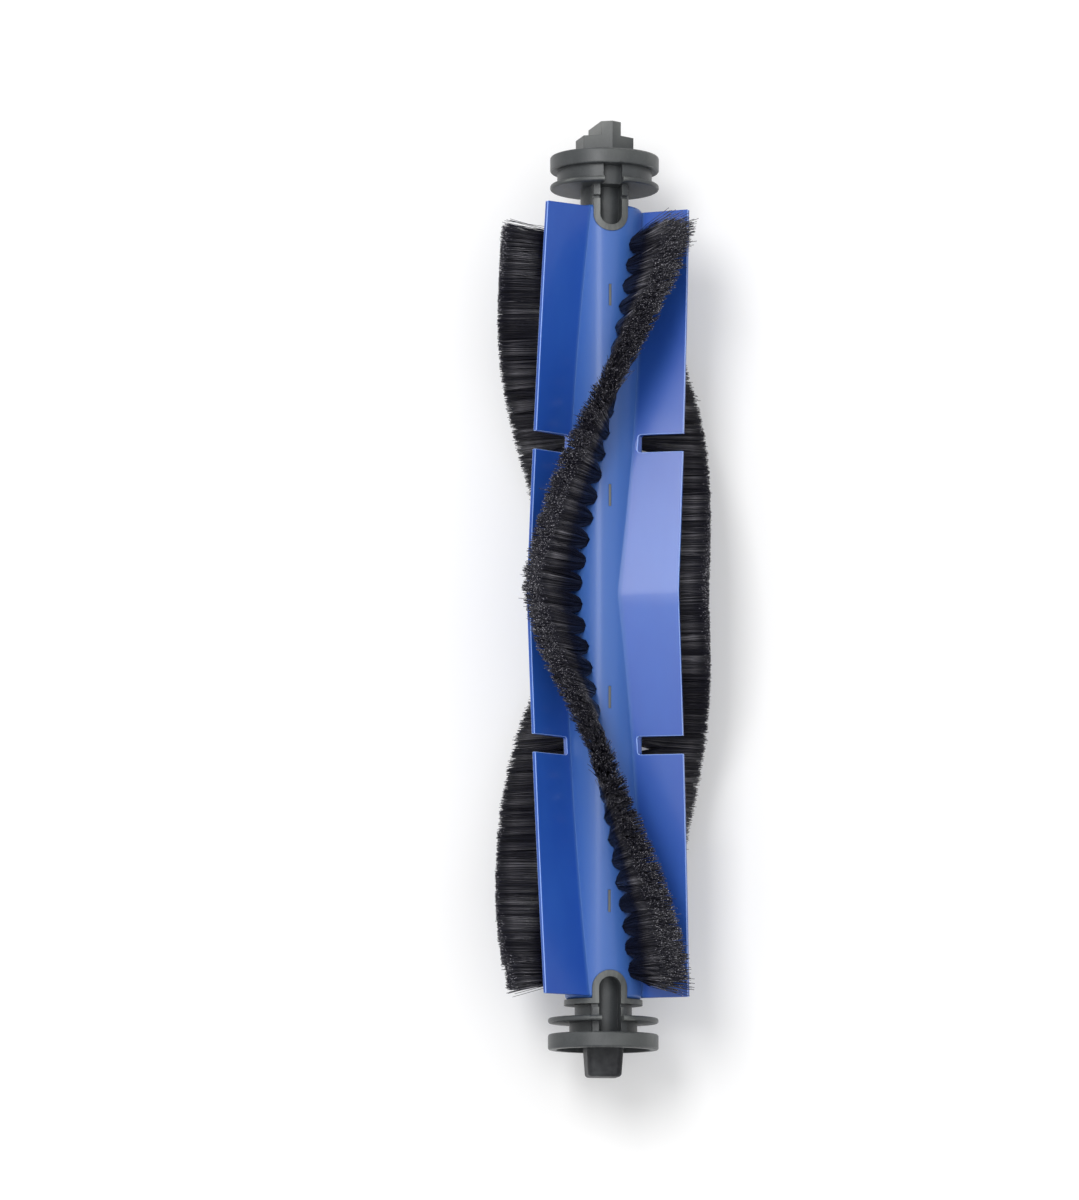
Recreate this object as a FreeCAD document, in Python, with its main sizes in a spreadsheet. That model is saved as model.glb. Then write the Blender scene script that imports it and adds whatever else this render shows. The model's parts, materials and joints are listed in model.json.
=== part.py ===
"""Roller brush for a robot vacuum cleaner: a hard spool-ended core, a soft over-moulded sleeve with
chevron blades, chevron rows of bristle tufts and a free-turning bearing block.

Millimetres. The axle lies along Y with the drive end at +Y, Z is up and the floor is at Z = 0.
Angles round the axle are degrees from straight up, positive towards +X.
"""
import FreeCAD, Part
import math
import os

import Sketcher
from FreeCAD import Placement, Rotation, Vector

# Driving dimensions: name, value, meaning
SIZES = [
    ("core_length", 151.0, "hard core under the sleeve"),
    ("core_radius", 6.0, "hard core under the sleeve"),
    ("sleeve_wall", 1.2, "soft sleeve round the core"),
    ("sleeve_round", 0.9, "edge radius at the sleeve's ends"),
    ("row_count", 3, "bristle rows, and as many blades"),
    ("chevron_apex", 0.9, "where the chevrons turn, from the middle of the core"),
    ("chevron_round", 1.0, "softness of the blades' turn at the apex"),
    ("blade_reach", 16.4, "radius of the blade edges"),
    ("blade_foot", 1.4, "blade thickness where it leaves the sleeve"),
    ("blade_edge", 0.8, "blade thickness at its edge"),
    ("blade_margin", 0.5, "blade ends from the sleeve's ends"),
    ("blade_foot_apex", 30.0, "angle of the blade foot at the chevron apex"),
    ("blade_foot_end", 93.0, "angle of the blade foot at the core's ends"),
    ("blade_edge_apex", 59.0, "angle of the blade edge at the chevron apex"),
    ("blade_edge_end", 77.6, "angle of the blade edge at the core's ends"),
    ("notch_place", 28.75, "notch from the chevron apex"),
    ("notch_width", 3.4, "width of each notch"),
    ("notch_ridge", 0.9, "ridge left above the sleeve in a notch"),
    ("notch_round", 0.5, "corner radius at the floor of a notch"),
    ("slit_count", 4, "slits in line along the sleeve"),
    ("slit_start", -57.3, "first slit from the middle of the core"),
    ("slit_spacing", 38.4, "spacing of the slits"),
    ("slit_length", 4.2, "slit along the axle"),
    ("slit_width", 0.5, "slit across"),
    ("slit_angle", 8.5, "angle of the slits"),
    ("rib_inset", 0.15, "core ribs in the slits, below the sleeve's surface"),
    ("bristle_reach", 20.5, "radius of the bristle tips"),
    ("tuft_pitch", 4.06, "spacing of the tufts along the axle"),
    ("tuft_margin", 4.6, "least distance from the core's end to a tuft"),
    ("tuft_root_apex", -46.0, "angle of the first tuft's root beside the apex"),
    ("tuft_root_end", 51.5, "angle of the last tuft's root"),
    ("tuft_tip_apex", -41.0, "angle of the first tuft's tip beside the apex"),
    ("tuft_tip_end", 41.0, "angle of the last tuft's tip"),
    ("tuft_tip_span", 3.9, "tuft tip along the axle"),
    ("tuft_tip_width", 4.8, "tuft tip across the row"),
    ("socket_corner", 1.45, "centre to corner of a tuft socket"),
    ("socket_depth", 3.8, "depth of a tuft socket from the sleeve's surface"),
    ("socket_gap", 0.03, "room round a tuft in its socket"),
    ("staple_width", 2.2, "flat wire anchor across the tuft"),
    ("staple_gauge", 0.4, "thickness of the anchor wire"),
    ("staple_depth", 1.4, "anchor below the socket's floor"),
    ("collar_proud", 0.2, "collar and keys above the sleeve"),
    ("collar_length", 1.0, "collar at the sleeve's bearing end"),
    ("key_width", 6.6, "round-ended key that locks the sleeve"),
    ("key_reach", 5.25, "key over the core from the core's end"),
    ("key_rim", 1.2, "wall round the hollow of a key"),
    ("key_angle", 10.0, "angle of the keys and their channels"),
    ("hollow_floor", 3.8, "radius left under the channels of the keys"),
    ("slot_width", 3.6, "slot across the drive end's inner guard and drum"),
    ("slot_floor", 7.2, "radius left under that slot"),
    ("groove_width", 0.7, "groove across the key walls"),
    ("groove_floor", 6.5, "radius left under that groove"),
    ("drive_neck_radius", 4.6, "neck between the core and the drive end's thin guard"),
    ("bearing_neck_radius", 5.4, "neck between the collar and the bearing end's thin guard"),
    ("drive_neck", 3.8, "neck length at the drive end"),
    ("bearing_neck", 2.35, "neck length at the bearing end"),
    ("guard_radius", 10.4, "hair guard discs"),
    ("thin_guard", 1.0, "thickness of the inner guard disc"),
    ("thick_guard", 2.95, "thickness of the outer guard disc"),
    ("guard_round", 0.4, "edge radius of the guard discs"),
    ("drive_drum_radius", 9.05, "drum between the guards at the drive end"),
    ("drive_drum_length", 2.5, "groove between the guards at the drive end"),
    ("bearing_drum_radius", 6.4, "drum between the guards at the bearing end"),
    ("bearing_drum_length", 2.05, "groove between the guards at the bearing end"),
    ("hex_corner", 5.7, "centre to corner of the drive hexagon"),
    ("hex_height", 3.5, "drive hexagon above its guard"),
    ("drive_angle", 15.0, "angle of the drive hexagon's first corner"),
    ("tang_width", 3.9, "drive tang across its flats"),
    ("tang_height", 2.6, "drive tang above the hexagon"),
    ("recess_radius", 8.9, "recess in the bearing end's outer guard"),
    ("recess_depth", 1.5, "depth of that recess"),
    ("pin_radius", 1.5, "steel bearing pin"),
    ("pin_seat", 9.0, "pin pressed into the core"),
    ("pin_reach", 4.9, "pin standing out of the recess floor"),
    ("pin_bevel", 0.3, "bevel on the pin's ends"),
    ("bush_clearance", 0.05, "running clearance of the pin in its bush"),
    ("bush_wall", 1.05, "wall of the bush"),
    ("bush_length", 4.6, "length of the bush"),
    ("block_gap", 0.4, "running gap between the block and the recess floor"),
    ("block_length", 6.2, "bearing block along the axle"),
    ("block_width", 7.15, "bearing block across flats at its inner end"),
    ("block_draft", 3.8, "taper of the block's sides"),
    ("block_round", 1.3, "corner radius of the block"),
    ("block_edge", 0.7, "edge radius at the block's outer end"),
    ("block_angle", 8.0, "angle of the block's flats"),
]

doc = FreeCAD.newDocument("roller_brush")
sheet = doc.addObject("Spreadsheet::Sheet", "Sizes")
for line, (alias, value, meaning) in enumerate(SIZES, start=1):
    sheet.set(f"A{line}", meaning)
    sheet.set(f"B{line}", str(value))
    sheet.setAlias(f"B{line}", alias)
doc.recompute()

# Places along the axle, as expressions on the sheet
HALF = "Sizes.core_length / 2"
SLEEVE = "(Sizes.core_radius + Sizes.sleeve_wall)"
COLLAR = f"({SLEEVE} + Sizes.collar_proud)"
DRIVE_THIN = f"({HALF} + Sizes.drive_neck)"
DRIVE_DRUM = f"({DRIVE_THIN} + Sizes.thin_guard)"
DRIVE_THICK = f"({DRIVE_DRUM} + Sizes.drive_drum_length)"
DRIVE_FACE = f"({DRIVE_THICK} + Sizes.thick_guard)"
HEX_FACE = f"({DRIVE_FACE} + Sizes.hex_height)"
BEARING_COLLAR = f"(-{HALF} - Sizes.collar_length)"
BEARING_THIN = f"({BEARING_COLLAR} - Sizes.bearing_neck)"
BEARING_DRUM = f"({BEARING_THIN} - Sizes.thin_guard)"
BEARING_THICK = f"({BEARING_DRUM} - Sizes.bearing_drum_length)"
BEARING_FACE = f"({BEARING_THICK} - Sizes.thick_guard)"
RECESS_FLOOR = f"({BEARING_FACE} + Sizes.recess_depth)"
BLOCK_FACE = f"({RECESS_FLOOR} - Sizes.block_gap)"
PIN_TIP = f"({RECESS_FLOOR} - Sizes.pin_reach)"
BUSH_BORE = "(Sizes.pin_radius + Sizes.bush_clearance)"
BUSH_RADIUS = f"({BUSH_BORE} + Sizes.bush_wall)"

Y_AXIS = Vector(0, 1, 0)
LAY_ALONG_Y = Rotation(Vector(1, 0, 0), -90)


def size(expression):
    """A number worked out from the sheet; a bare name is one of its cells."""
    if expression.isidentifier():
        expression = f"Sizes.{expression}"
    return float(sheet.evalExpression(expression))


def bind(item, **expressions):
    """Tie properties of an object to the sheet."""
    for name, expression in expressions.items():
        item.setExpression(name.replace("__", "."), expression)
    return item


def new_body(name):
    return doc.addObject("PartDesign::Body", name)


def new_sketch(body, name, role="XY_Plane"):
    """A sketch on one of its own body's origin planes."""
    sketch = body.newObject("Sketcher::SketchObject", name)
    plane = next(f for f in body.Origin.OriginFeatures if f.Role == role)
    sketch.AttachmentSupport = [(plane, "")]
    sketch.MapMode = "FlatFace"
    return sketch


def hold(sketch, kind, index, end, expression):
    """Hold one point of a sketch at a distance from the sketch's origin."""
    place = sketch.addConstraint(Sketcher.Constraint(kind, -1, 1, index, end, size(expression)))
    sketch.setExpression(f"Constraints[{place}]", expression)


def hold_point(sketch, index, end, across, along):
    """Hold one point of a sketch at two expressions from the sketch's origin."""
    for kind, axis, expression in (("DistanceX", -2, across), ("DistanceY", -1, along)):
        if expression == "0":
            sketch.addConstraint(Sketcher.Constraint("PointOnObject", index, end, axis))
        else:
            hold(sketch, kind, index, end, expression)


def draw_polygon(sketch, corners):
    """A closed outline of straight lines through corners given as expressions."""
    points = [Vector(size(x), size(y), 0) for x, y in corners]
    lines = [
        sketch.addGeometry(Part.LineSegment(points[i], points[(i + 1) % len(points)]), False)
        for i in range(len(points))
    ]
    for i, line in enumerate(lines):
        after = lines[(i + 1) % len(lines)]
        sketch.addConstraint(Sketcher.Constraint("Coincident", line, 2, after, 1))
        hold_point(sketch, line, 1, *corners[i])


def draw_key(sketch, half_width, root, tip_centre):
    """A round-ended key outline: straight sides from its root to a half circle round tip_centre."""
    reach = size(half_width)
    start = size(root)
    centre = size(tip_centre)
    outward = 1 if centre > start else -1
    bend = Part.Arc(
        Vector(reach, centre, 0), Vector(0, centre + outward * reach, 0), Vector(-reach, centre, 0)
    )
    right = sketch.addGeometry(Part.LineSegment(Vector(reach, start, 0), Vector(reach, centre, 0)))
    arc = sketch.addGeometry(bend)
    left = sketch.addGeometry(Part.LineSegment(Vector(-reach, centre, 0), Vector(-reach, start, 0)))
    base = sketch.addGeometry(Part.LineSegment(Vector(-reach, start, 0), Vector(reach, start, 0)))
    arc_right = 2 if outward < 0 else 1
    arc_left = 3 - arc_right
    for first, first_end, second, second_end in (
        (right, 2, arc, arc_right), (left, 1, arc, arc_left), (left, 2, base, 1), (base, 2, right, 1)
    ):
        sketch.addConstraint(Sketcher.Constraint("Coincident", first, first_end, second, second_end))
    hold_point(sketch, base, 1, f"-({half_width})", root)
    hold_point(sketch, base, 2, half_width, root)
    hold_point(sketch, arc, 3, "0", tip_centre)
    for end in (1, 2):
        hold(sketch, "DistanceY", arc, end, tip_centre)
    radius = sketch.addConstraint(Sketcher.Constraint("Radius", arc, reach))
    sketch.setExpression(f"Constraints[{radius}]", half_width)


def revolve(body, name, sketch):
    """A full turn of a sketch round the axle."""
    turned = body.newObject("PartDesign::Revolution", name)
    turned.Profile = sketch
    turned.ReferenceAxis = (sketch, ["V_Axis"])
    turned.Angle = 360
    doc.recompute()
    return turned


def turn(body, name, corners):
    """A solid turned round the axle from a profile of (radius, place along the axle) corners."""
    sketch = new_sketch(body, f"{name}_profile")
    draw_polygon(sketch, corners)
    return revolve(body, name, sketch)


def pad_both_ways(body, name, sketch, length):
    """A sketch made solid by the same amount on both sides of its plane."""
    pad = body.newObject("PartDesign::Pad", name)
    pad.Profile = sketch
    pad.SideType = "Symmetric"
    bind(pad, Length=length)
    doc.recompute()
    return pad


def round_edges(body, name, base, radius, chosen):
    """Round the edges of a feature that the chosen test picks out."""
    names = [f"Edge{i}" for i, edge in enumerate(base.Shape.Edges, start=1) if chosen(edge)]
    fillet = body.newObject("PartDesign::Fillet", name)
    fillet.Base = (base, names)
    bind(fillet, Radius=radius)
    doc.recompute()
    return fillet


def is_circle(edge, radius):
    return isinstance(edge.Curve, Part.Circle) and abs(edge.Curve.Radius - radius) < 1e-4


def rod(name, radius, start, length):
    """A cylinder along the axle."""
    cylinder = doc.addObject("Part::Cylinder", name)
    cylinder.Placement = Placement(Vector(), LAY_ALONG_Y)
    bind(cylinder, Radius=radius, Height=length, Placement__Base__y=start)
    return cylinder


def combine(kind, name, base, tool):
    """A Part::Cut or Part::Common of two objects."""
    result = doc.addObject(kind, name)
    result.Base = base
    result.Tool = tool
    return result


def group(kind, name, members):
    """A Part::MultiFuse or Part::Compound of several objects."""
    result = doc.addObject(kind, name)
    setattr(result, "Shapes" if kind == "Part::MultiFuse" else "Links", members)
    return result


def turned_by(item, angle):
    """Swing an object round the axle by an expression in degrees."""
    item.Placement = Placement(Vector(), Rotation(Y_AXIS, 0))
    item.setExpression("Placement.Rotation.Axis.y", "1")
    item.setExpression("Placement.Rotation.Angle", angle)
    return item


def round_the_axle(radius, angle, along):
    """The point at a radius, an angle in degrees and a place along the axle."""
    turn_angle = math.radians(angle)
    return Vector(radius * math.sin(turn_angle), along, radius * math.cos(turn_angle))


def between(start, end, share):
    return start + (end - start) * share


# Tufts: where each stands, and the solids that every tuft repeats
def tuft_arms():
    """Distances of the tufts from the chevron apex, for the drive arm and the bearing arm."""
    arms = []
    for direction in (1, -1):
        room = size(HALF) - direction * size("chevron_apex") - size("tuft_margin")
        count = int((room - size("tuft_pitch") / 2) / size("tuft_pitch")) + 1
        steps = [size("tuft_pitch") * (i + 0.5) for i in range(count)]
        arms.append((direction, steps))
    return arms


def tuft_places():
    """The placement of each tuft of one row: local Z runs out along the tuft, local X along the axle."""
    length = size("bristle_reach") - size(SLEEVE)
    places = []
    for direction, steps in tuft_arms():
        for step in steps:
            share = (step - steps[0]) / (steps[-1] - steps[0])
            along = size("chevron_apex") + direction * step
            root_angle = between(size("tuft_root_apex"), size("tuft_root_end"), share)
            tip_angle = between(size("tuft_tip_apex"), size("tuft_tip_end"), share)
            root = round_the_axle(size(SLEEVE), root_angle, along)
            tip = round_the_axle(size("bristle_reach"), tip_angle, along)
            outward = (tip - root).normalize()
            across = outward.cross(Y_AXIS)
            facing = Rotation(Y_AXIS, across, outward, "ZXY")
            places.append(Placement(tip - outward * length, facing))
    return places


def row_turn(row):
    """The rotation that carries the first row, or the first blade, to another."""
    return Placement(Vector(), Rotation(Y_AXIS, row * 360 / size("row_count")))


def tuft_corners(corner_half, flat_half):
    """A six-sided tuft section with its flats towards its neighbours along the axle.

    corner_half reaches across the row and flat_half along it; the slanting sides keep one direction,
    so that the flared sides stay flat.
    """
    shoulder = f"(({corner_half}) - ({flat_half}) / sqrt(3))"
    return [
        ("0", corner_half),
        (f"-({flat_half})", shoulder),
        (f"-({flat_half})", f"-{shoulder}"),
        ("0", f"-({corner_half})"),
        (flat_half, f"-{shoulder}"),
        (flat_half, shoulder),
    ]


def tuft_section(body, name, corner_half, flat_half, height):
    sketch = new_sketch(body, name)
    draw_polygon(sketch, tuft_corners(corner_half, flat_half))
    bind(sketch, AttachmentOffset__Base__z=height)
    return sketch


def make_tuft():
    """One tuft: a straight plug for its socket, then a flare to the trimmed tip."""
    body = new_body("tuft")
    corner = "(Sizes.socket_corner - Sizes.socket_gap)"
    flat = f"({corner} * sqrt(3) / 2)"
    plug = body.newObject("PartDesign::Pad", "tuft_plug")
    plug.Profile = tuft_section(body, "plug_section", corner, flat, "-Sizes.socket_depth")
    bind(plug, Length="Sizes.socket_depth")
    mouth = tuft_section(body, "mouth_section", corner, flat, "0 mm")
    tip = tuft_section(
        body, "tip_section", "Sizes.tuft_tip_width / 2", "Sizes.tuft_tip_span / 2",
        f"Sizes.bristle_reach - {SLEEVE}",
    )
    flare = body.newObject("PartDesign::AdditiveLoft", "tuft_flare")
    flare.Profile = mouth
    flare.Sections = [tip]
    flare.Ruled = True
    doc.recompute()
    return body


def make_socket():
    """The hollow that one tuft fills, open past the sleeve's surface."""
    body = new_body("socket")
    corner = "Sizes.socket_corner"
    pad = body.newObject("PartDesign::Pad", "socket_pad")
    pad.Profile = tuft_section(
        body, "socket_section", corner, f"({corner} * sqrt(3) / 2)", "-Sizes.socket_depth"
    )
    bind(pad, Length="Sizes.socket_depth + Sizes.sleeve_wall")
    doc.recompute()
    return body


def make_staple():
    """The flat wire anchor that is driven through a socket's floor."""
    staple = doc.addObject("Part::Box", "staple")
    bind(
        staple,
        Length="Sizes.staple_gauge",
        Width="Sizes.staple_width",
        Height="Sizes.staple_depth",
        Placement__Base__x="-Sizes.staple_gauge / 2",
        Placement__Base__y="-Sizes.staple_width / 2",
        Placement__Base__z="-Sizes.socket_depth - Sizes.staple_depth",
    )
    doc.recompute()
    return staple


def repeated(name, solid, places):
    """Separate copies of one solid at many placements."""
    row = doc.addObject("Part::Feature", name)
    copies = []
    for place in places:
        copy = solid.Shape.copy()
        copy.Placement = place.multiply(solid.Shape.Placement)
        copies.append(copy)
    row.Shape = Part.makeCompound(copies)
    return row


# Core: the hard moulding with its two spool ends and the drive
def make_turned_core():
    body = new_body("turned_core")
    profile = [
        ("0", RECESS_FLOOR),
        ("Sizes.recess_radius", RECESS_FLOOR),
        ("Sizes.recess_radius", BEARING_FACE),
        ("Sizes.guard_radius", BEARING_FACE),
        ("Sizes.guard_radius", BEARING_THICK),
        ("Sizes.bearing_drum_radius", BEARING_THICK),
        ("Sizes.bearing_drum_radius", BEARING_DRUM),
        ("Sizes.guard_radius", BEARING_DRUM),
        ("Sizes.guard_radius", BEARING_THIN),
        ("Sizes.bearing_neck_radius", BEARING_THIN),
        ("Sizes.bearing_neck_radius", BEARING_COLLAR),
        (COLLAR, BEARING_COLLAR),
        (COLLAR, f"-{HALF}"),
        ("Sizes.core_radius", f"-{HALF}"),
        ("Sizes.core_radius", HALF),
        ("Sizes.drive_neck_radius", HALF),
        ("Sizes.drive_neck_radius", DRIVE_THIN),
        ("Sizes.guard_radius", DRIVE_THIN),
        ("Sizes.guard_radius", DRIVE_DRUM),
        ("Sizes.drive_drum_radius", DRIVE_DRUM),
        ("Sizes.drive_drum_radius", DRIVE_THICK),
        ("Sizes.guard_radius", DRIVE_THICK),
        ("Sizes.guard_radius", DRIVE_FACE),
        ("0", DRIVE_FACE),
    ]
    turned = turn(body, "spools", profile)
    rim = size("guard_radius")
    round_edges(body, "guard_rims", turned, "Sizes.guard_round", lambda edge: is_circle(edge, rim))
    return body


def make_keys():
    """The round-ended keys whose walls run out to the guards at both ends, front and back."""
    body = new_body("key_blank")
    sketch = new_sketch(body, "key_outline")
    half_width = "(Sizes.key_width / 2)"
    tip = f"({HALF} - Sizes.key_reach + {half_width})"
    draw_key(sketch, half_width, DRIVE_THIN, tip)
    draw_key(sketch, half_width, BEARING_THICK, f"-{tip}")
    pad_both_ways(body, "key_pad", sketch, "2 * Sizes.guard_radius")
    barrel = rod("key_barrel", COLLAR, BEARING_THICK, f"{DRIVE_THIN} - {BEARING_THICK}")
    walls = combine("Part::Common", "key_walls", body, barrel)
    return turned_by(combine("Part::Cut", "keys", walls, make_grooves()), "Sizes.key_angle")


def make_grooves():
    """Two rings that cut a groove across the key walls, a little way out from the sleeve."""
    body = new_body("groove_rings")
    sketch = new_sketch(body, "groove_profile")
    for near, far in (
        (f"({HALF} + Sizes.collar_length)", f"({HALF} + Sizes.collar_length + Sizes.groove_width)"),
        (BEARING_COLLAR, f"({BEARING_COLLAR} - Sizes.groove_width)"),
    ):
        corners = [("Sizes.groove_floor", near), ("Sizes.groove_floor", far)]
        draw_polygon(sketch, corners + [("Sizes.guard_radius", far), ("Sizes.guard_radius", near)])
    revolve(body, "groove_turn", sketch)
    return body


def make_hollows():
    """The channels of the keys and the drive end's shallow slot, front and back."""
    body = new_body("hollow_blank")
    sketch = new_sketch(body, "hollow_outline")
    half_width = "(Sizes.key_width / 2 - Sizes.key_rim)"
    tip = f"({HALF} - Sizes.key_reach + Sizes.key_width / 2)"
    draw_key(sketch, half_width, DRIVE_THIN, tip)
    draw_key(sketch, half_width, BEARING_THICK, f"-{tip}")
    pad_both_ways(body, "hollow_pad", sketch, "2 * Sizes.guard_radius")
    axle = rod("hollow_axle", "Sizes.hollow_floor", BEARING_FACE, f"{DRIVE_FACE} - {BEARING_FACE}")
    channels = combine("Part::Cut", "channels", body, axle)
    slot = combine("Part::Cut", "drive_slot", make_slot_bar(), make_slot_axle())
    return turned_by(group("Part::Compound", "hollows", [channels, slot]), "Sizes.key_angle")


def make_slot_bar():
    """A bar across the drive end's inner guard and drum, reaching past their rims."""
    bar = doc.addObject("Part::Box", "slot_bar")
    bind(
        bar,
        Length="Sizes.slot_width",
        Width=f"{DRIVE_THICK} - {DRIVE_THIN}",
        Height="4 * Sizes.guard_radius",
        Placement__Base__x="-Sizes.slot_width / 2",
        Placement__Base__y=DRIVE_THIN,
        Placement__Base__z="-2 * Sizes.guard_radius",
    )
    return bar


def make_slot_axle():
    return rod("slot_axle", "Sizes.slot_floor", DRIVE_THIN, f"{DRIVE_THICK} - {DRIVE_THIN}")


def make_drive():
    """The drive hexagon and the tang that stands corner to corner on it."""
    parts = []
    for name, start, height in (
        ("drive_hexagon", DRIVE_FACE, "Sizes.hex_height"), ("tang_hexagon", HEX_FACE, "Sizes.tang_height")
    ):
        prism = doc.addObject("Part::Prism", name)
        prism.Polygon = 6
        prism.Placement = Placement(Vector(), LAY_ALONG_Y)
        bind(prism, Circumradius="Sizes.hex_corner", Height=height, Placement__Base__y=start)
        parts.append(prism)
    hexagon, tang_hexagon = parts
    bar = doc.addObject("Part::Box", "tang_bar")
    bind(
        bar,
        Length="2 * Sizes.hex_corner",
        Width="Sizes.tang_height",
        Height="Sizes.tang_width",
        Placement__Base__x="-Sizes.hex_corner",
        Placement__Base__y=HEX_FACE,
        Placement__Base__z="-Sizes.tang_width / 2",
    )
    tang = combine("Part::Common", "tang", tang_hexagon, bar)
    return turned_by(group("Part::MultiFuse", "drive", [hexagon, tang]), "Sizes.drive_angle - 90")


def make_ribs(slits):
    """The low ribs of the core that stand in the sleeve's slits and hold it from turning."""
    reach = rod("rib_reach", f"{SLEEVE} - Sizes.rib_inset", f"-{HALF}", "Sizes.core_length")
    return combine("Part::Common", "ribs", slits, reach)


def make_core(keys, slits, sockets, staple_slots):
    raised = [keys, make_ribs(slits), make_drive()]
    solid = group("Part::MultiFuse", "core_solid", [make_turned_core(), *raised])
    seat = rod("pin_hole", "Sizes.pin_radius", RECESS_FLOOR, "Sizes.pin_seat")
    tools = group("Part::Compound", "core_cuts", [make_hollows(), seat, sockets, staple_slots])
    return combine("Part::Cut", "roller_core", solid, tools)


# Sleeve: the soft over-moulding with its blades
def soft_turn(distance):
    """A distance from the chevron apex, rounded off near the apex."""
    return math.hypot(distance, size("chevron_round")) - size("chevron_round")


def blade_section(along):
    """The blade's section at a place along the axle, from its buried root to its edge."""
    apex = size("chevron_apex")
    arm = size(HALF) - size("blade_margin") - math.copysign(apex, along - apex)
    share = soft_turn(along - apex) / soft_turn(arm)
    foot = round_the_axle(
        size(SLEEVE), between(size("blade_foot_apex"), size("blade_foot_end"), share), along
    )
    edge = round_the_axle(
        size("blade_reach"), between(size("blade_edge_apex"), size("blade_edge_end"), share), along
    )
    outward = (edge - foot).normalize()
    aside = outward.cross(Y_AXIS)
    root = foot - outward * size("sleeve_wall")
    stations = [(root, "blade_foot"), (foot, "blade_foot"), (edge, "blade_edge")]
    up = [point + aside * (size(thickness) / 2) for point, thickness in stations]
    down = [point - aside * (size(thickness) / 2) for point, thickness in reversed(stations)]
    return Part.makePolygon(up + down + up[:1])


def make_blades():
    """Every blade: two arms and the soft turn between them, each lofted through even sections."""
    blades = doc.addObject("Part::Feature", "blades")
    section_count = 7
    turn_reach = 3 * size("chevron_round")
    end = size(HALF) - size("blade_margin")
    stops = [-end, size("chevron_apex") - turn_reach, size("chevron_apex") + turn_reach, end]
    lofts = []
    for near, far in zip(stops, stops[1:]):
        steps = [between(near, far, i / (section_count - 1)) for i in range(section_count)]
        lofts.append(Part.makeLoft([blade_section(along) for along in steps], True))
    blade = lofts[0].fuse(lofts[1:])
    copies = []
    for row in range(int(size("row_count"))):
        copy = blade.copy()
        copy.Placement = row_turn(row)
        copies.append(copy)
    blades.Shape = Part.makeCompound(copies)
    return blades


def make_notches():
    """Two rings that cut every blade down to a low ridge, with rounded floor corners."""
    body = new_body("notch_rings")
    sketch = new_sketch(body, "notch_profile")
    floor = f"({SLEEVE} + Sizes.notch_ridge)"
    outside = "(Sizes.blade_reach + Sizes.blade_edge)"
    for side in ("+", "-"):
        middle = f"(Sizes.chevron_apex {side} Sizes.notch_place)"
        low = f"({middle} - Sizes.notch_width / 2)"
        high = f"({middle} + Sizes.notch_width / 2)"
        draw_polygon(sketch, [(floor, low), (outside, low), (outside, high), (floor, high)])
    rings = revolve(body, "notch_turn", sketch)
    inside = size(floor)
    round_edges(body, "notch_corners", rings, "Sizes.notch_round", lambda edge: is_circle(edge, inside))
    return body


def make_slits():
    """Narrow slits in line along the sleeve, where ribs of the core show."""
    slits = []
    for i in range(int(size("slit_count"))):
        slit = doc.addObject("Part::Box", f"slit_{i + 1}")
        bind(
            slit,
            Length="Sizes.slit_width",
            Width="Sizes.slit_length",
            Height="2 * Sizes.sleeve_wall",
            Placement__Base__x="-Sizes.slit_width / 2",
            Placement__Base__y=f"Sizes.slit_start + {i} * Sizes.slit_spacing - Sizes.slit_length / 2",
            Placement__Base__z="Sizes.core_radius - Sizes.sleeve_wall / 2",
        )
        slits.append(slit)
    return turned_by(group("Part::Compound", "slits", slits), "Sizes.slit_angle")


def make_barrel():
    """The plain tube of the sleeve before its bore, with rounded end edges."""
    body = new_body("sleeve_barrel")
    corners = [("0", f"-{HALF}"), (SLEEVE, f"-{HALF}"), (SLEEVE, HALF), ("0", HALF)]
    turned = turn(body, "barrel_turned", corners)
    outside = size(SLEEVE)
    round_edges(body, "barrel_ends", turned, "Sizes.sleeve_round", lambda edge: is_circle(edge, outside))
    return body


def make_sleeve(keys, slits, sockets):
    solid = group("Part::MultiFuse", "sleeve_solid", [make_barrel(), make_blades()])
    bore = rod("sleeve_bore", "Sizes.core_radius", f"-{HALF}", "Sizes.core_length")
    bored = combine("Part::Cut", "bored_sleeve", solid, bore)
    notched = combine("Part::Cut", "notched_sleeve", bored, make_notches())
    tools = group("Part::Compound", "sleeve_cuts", [keys, slits, sockets])
    return combine("Part::Cut", "blade_sleeve", notched, tools)


# Bearing: pin, bush and block
def make_pin():
    body = new_body("bearing_pin")
    bevel = "Sizes.pin_bevel"
    inner = f"({RECESS_FLOOR} + Sizes.pin_seat)"
    profile = [
        ("0", PIN_TIP),
        (f"(Sizes.pin_radius - {bevel})", PIN_TIP),
        ("Sizes.pin_radius", f"({PIN_TIP} + {bevel})"),
        ("Sizes.pin_radius", f"({inner} - {bevel})"),
        (f"(Sizes.pin_radius - {bevel})", inner),
        ("0", inner),
    ]
    turn(body, "pin_turned", profile)
    return body


def make_bush():
    body = new_body("bearing_bush")
    far = f"({BLOCK_FACE} - Sizes.bush_length)"
    profile = [(BUSH_BORE, BLOCK_FACE), (BUSH_RADIUS, BLOCK_FACE), (BUSH_RADIUS, far), (BUSH_BORE, far)]
    turn(body, "bush_turned", profile)
    return body


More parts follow.
